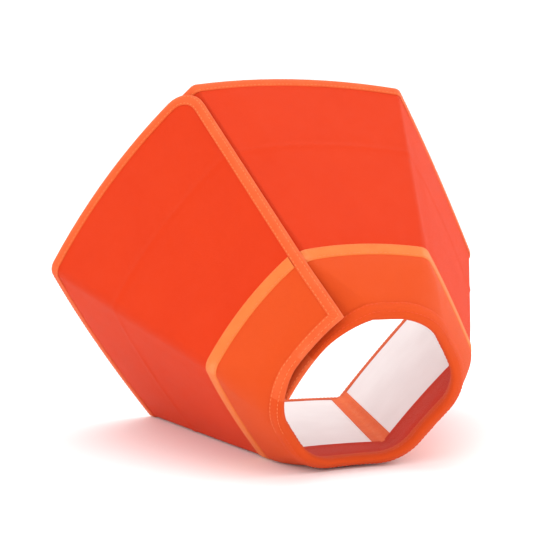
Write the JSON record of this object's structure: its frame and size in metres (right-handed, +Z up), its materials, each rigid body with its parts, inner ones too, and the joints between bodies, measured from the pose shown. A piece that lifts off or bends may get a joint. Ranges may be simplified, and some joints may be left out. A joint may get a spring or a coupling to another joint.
{
  "type": "elizabethan collar",
  "caption": "Soft fabric recovery cone for a dog: hinged stiffened panels with a padded neck cuff and a hook and loop flap.",
  "frame": {"origin": "middle of the collar's footprint on the floor, at floor level", "axes": "+Z up from the floor, +X across the cone towards the side away from the closure flap, +Y towards the mouth; the neck end faces -Y"},
  "size_m": [0.3668, 0.2827, 0.2793],
  "materials": {
    "flap_outer_shell": "woven polyester",
    "flap_outer_sheet": "frosted translucent flexible plastic",
    "flap_outer_rim_tape": "woven binding tape",
    "flap_outer_cuff": "soft woven polyester, lightly padded",
    "flap_outer_seam_tape": "woven binding tape",
    "flap_outer_neck_tape": "woven binding tape",
    "side_left_ribbon": "woven binding tape",
    "hook_strip": "hook tape",
    "lower_left_shell": "woven polyester",
    "lower_left_sheet": "frosted translucent flexible plastic",
    "lower_left_rim_tape": "woven binding tape",
    "lower_left_cuff": "soft woven polyester, lightly padded",
    "lower_left_seam_tape": "woven binding tape",
    "lower_left_neck_tape": "woven binding tape",
    "floor_left_ribbon": "woven binding tape",
    "bottom_shell": "woven polyester",
    "bottom_sheet": "frosted translucent flexible plastic",
    "bottom_rim_tape": "woven binding tape",
    "bottom_cuff": "soft woven polyester, lightly padded",
    "bottom_seam_tape": "woven binding tape",
    "bottom_neck_tape": "woven binding tape",
    "floor_right_ribbon": "woven binding tape",
    "lower_right_shell": "woven polyester",
    "lower_right_sheet": "frosted translucent flexible plastic",
    "lower_right_rim_tape": "woven binding tape",
    "lower_right_cuff": "soft woven polyester, lightly padded",
    "lower_right_seam_tape": "woven binding tape",
    "lower_right_neck_tape": "woven binding tape",
    "side_right_ribbon": "woven binding tape",
    "upper_right_shell": "woven polyester",
    "upper_right_sheet": "frosted translucent flexible plastic",
    "upper_right_rim_tape": "woven binding tape",
    "upper_right_cuff": "soft woven polyester, lightly padded",
    "upper_right_seam_tape": "woven binding tape",
    "upper_right_neck_tape": "woven binding tape",
    "top_right_ribbon": "woven binding tape",
    "top_shell": "woven polyester",
    "top_sheet": "frosted translucent flexible plastic",
    "top_rim_tape": "woven binding tape",
    "top_cuff": "soft woven polyester, lightly padded",
    "top_seam_tape": "woven binding tape",
    "top_neck_tape": "woven binding tape",
    "top_left_ribbon": "woven binding tape",
    "flap_inner_shell": "woven polyester",
    "flap_inner_sheet": "frosted translucent flexible plastic",
    "flap_inner_rim_tape": "woven binding tape",
    "flap_inner_cuff": "soft woven polyester, lightly padded",
    "flap_inner_seam_tape": "woven binding tape",
    "flap_inner_neck_tape": "woven binding tape",
    "loop_field": "brushed loop fabric"
  },
  "bodies": {
    "flap_outer": {"flap_outer_shell": "flap_outer_shell", "flap_outer_sheet": "flap_outer_sheet", "flap_outer_rim_tape": "flap_outer_rim_tape", "flap_outer_cuff": "flap_outer_cuff", "flap_outer_seam_tape": "flap_outer_seam_tape", "flap_outer_neck_tape": "flap_outer_neck_tape", "side_left_ribbon": "side_left_ribbon", "hook_strip": "hook_strip"},
    "lower_left": {"lower_left_shell": "lower_left_shell", "lower_left_sheet": "lower_left_sheet", "lower_left_rim_tape": "lower_left_rim_tape", "lower_left_cuff": "lower_left_cuff", "lower_left_seam_tape": "lower_left_seam_tape", "lower_left_neck_tape": "lower_left_neck_tape", "floor_left_ribbon": "floor_left_ribbon"},
    "bottom": {"bottom_shell": "bottom_shell", "bottom_sheet": "bottom_sheet", "bottom_rim_tape": "bottom_rim_tape", "bottom_cuff": "bottom_cuff", "bottom_seam_tape": "bottom_seam_tape", "bottom_neck_tape": "bottom_neck_tape", "floor_right_ribbon": "floor_right_ribbon"},
    "lower_right": {"lower_right_shell": "lower_right_shell", "lower_right_sheet": "lower_right_sheet", "lower_right_rim_tape": "lower_right_rim_tape", "lower_right_cuff": "lower_right_cuff", "lower_right_seam_tape": "lower_right_seam_tape", "lower_right_neck_tape": "lower_right_neck_tape", "side_right_ribbon": "side_right_ribbon"},
    "upper_right": {"upper_right_shell": "upper_right_shell", "upper_right_sheet": "upper_right_sheet", "upper_right_rim_tape": "upper_right_rim_tape", "upper_right_cuff": "upper_right_cuff", "upper_right_seam_tape": "upper_right_seam_tape", "upper_right_neck_tape": "upper_right_neck_tape", "top_right_ribbon": "top_right_ribbon"},
    "top": {"top_shell": "top_shell", "top_sheet": "top_sheet", "top_rim_tape": "top_rim_tape", "top_cuff": "top_cuff", "top_seam_tape": "top_seam_tape", "top_neck_tape": "top_neck_tape", "top_left_ribbon": "top_left_ribbon"},
    "flap_inner": {"flap_inner_shell": "flap_inner_shell", "flap_inner_sheet": "flap_inner_sheet", "flap_inner_rim_tape": "flap_inner_rim_tape", "flap_inner_cuff": "flap_inner_cuff", "flap_inner_seam_tape": "flap_inner_seam_tape", "flap_inner_neck_tape": "flap_inner_neck_tape", "loop_field": "loop_field"}
  },
  "joints": [
    {"name": "floor_right_fold", "type": "hinge", "parent": "bottom", "child": "lower_right", "pos_m": [0.04956, -0.04133, 0], "axis": [0.2164, 0.9763, 0], "range_deg": [0, 51.62], "deforming": ["flap_inner_shell", "flap_inner_sheet", "flap_inner_rim_tape", "flap_inner_cuff", "flap_inner_seam_tape", "flap_inner_neck_tape", "loop_field"]},
    {"name": "side_right_fold", "type": "hinge", "parent": "lower_right", "child": "upper_right", "pos_m": [0.10346, -0.07514, 0.07569], "axis": [0.4518, 0.8286, 0.3305], "range_deg": [0, 61.83]},
    {"name": "top_right_fold", "type": "hinge", "parent": "upper_right", "child": "top", "pos_m": [0.0496, -0.10267, 0.15382], "axis": [0.2166, 0.7084, 0.6717], "range_deg": [0, 51.62]},
    {"name": "top_left_fold", "type": "hinge", "parent": "top", "child": "flap_inner", "pos_m": [-0.04399, -0.10177, 0.15468], "axis": [-0.2166, 0.7084, 0.6717], "range_deg": [0, 51.62]},
    {"name": "floor_left_fold", "type": "hinge", "parent": "bottom", "child": "lower_left", "pos_m": [-0.04956, -0.04133, 0], "axis": [0.2164, -0.9763, 0], "range_deg": [0, 51.62]},
    {"name": "flap_peel", "type": "hinge", "parent": "lower_left", "child": "flap_outer", "pos_m": [-0.10346, -0.07514, 0.07569], "axis": [0.4518, -0.8286, -0.3305], "range_deg": [0, 61.83]}
  ],
  "couplings": [
    {"joint": "side_right_fold", "follows": "floor_right_fold", "ratio": 1.1978},
    {"joint": "top_right_fold", "follows": "floor_right_fold", "ratio": 1},
    {"joint": "top_left_fold", "follows": "floor_right_fold", "ratio": 1},
    {"joint": "floor_left_fold", "follows": "floor_right_fold", "ratio": 1}
  ]
}
